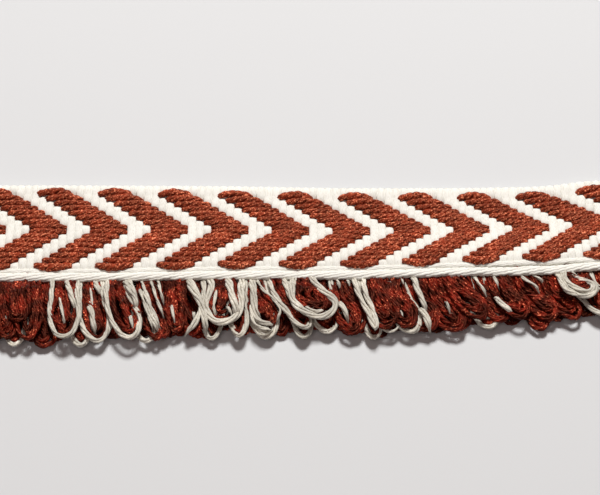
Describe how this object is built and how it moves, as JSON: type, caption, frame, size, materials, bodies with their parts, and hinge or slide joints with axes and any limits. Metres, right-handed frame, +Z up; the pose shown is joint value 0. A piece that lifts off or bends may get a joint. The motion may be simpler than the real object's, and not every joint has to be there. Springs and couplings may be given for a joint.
{
  "type": "woven loop fringe trim",
  "caption": "Flat woven trimming with a raised chevron band in rust and cream, edged along one side with a fringe of uncut plied yarn loops.",
  "frame": {"origin": "on the heading's flat underside, on the middle line of the woven heading, half way along the length", "axes": "+X along the trim, +Y across it towards the plain edge with the loops towards -Y, +Z up from the surface it lies on"},
  "size_m": [0.1326, 0.033, 0.0044],
  "materials": {
    "woven_heading": "matt woven cotton yarns, cream with rust warp floats",
    "loop_yarn": "plied spun yarns in rust and off-white, a dull sheen on the rust"
  },
  "bodies": {
    "root": {"heading": "woven_heading", "loop_fringe": "loop_yarn"}
  },
  "joints": []
}
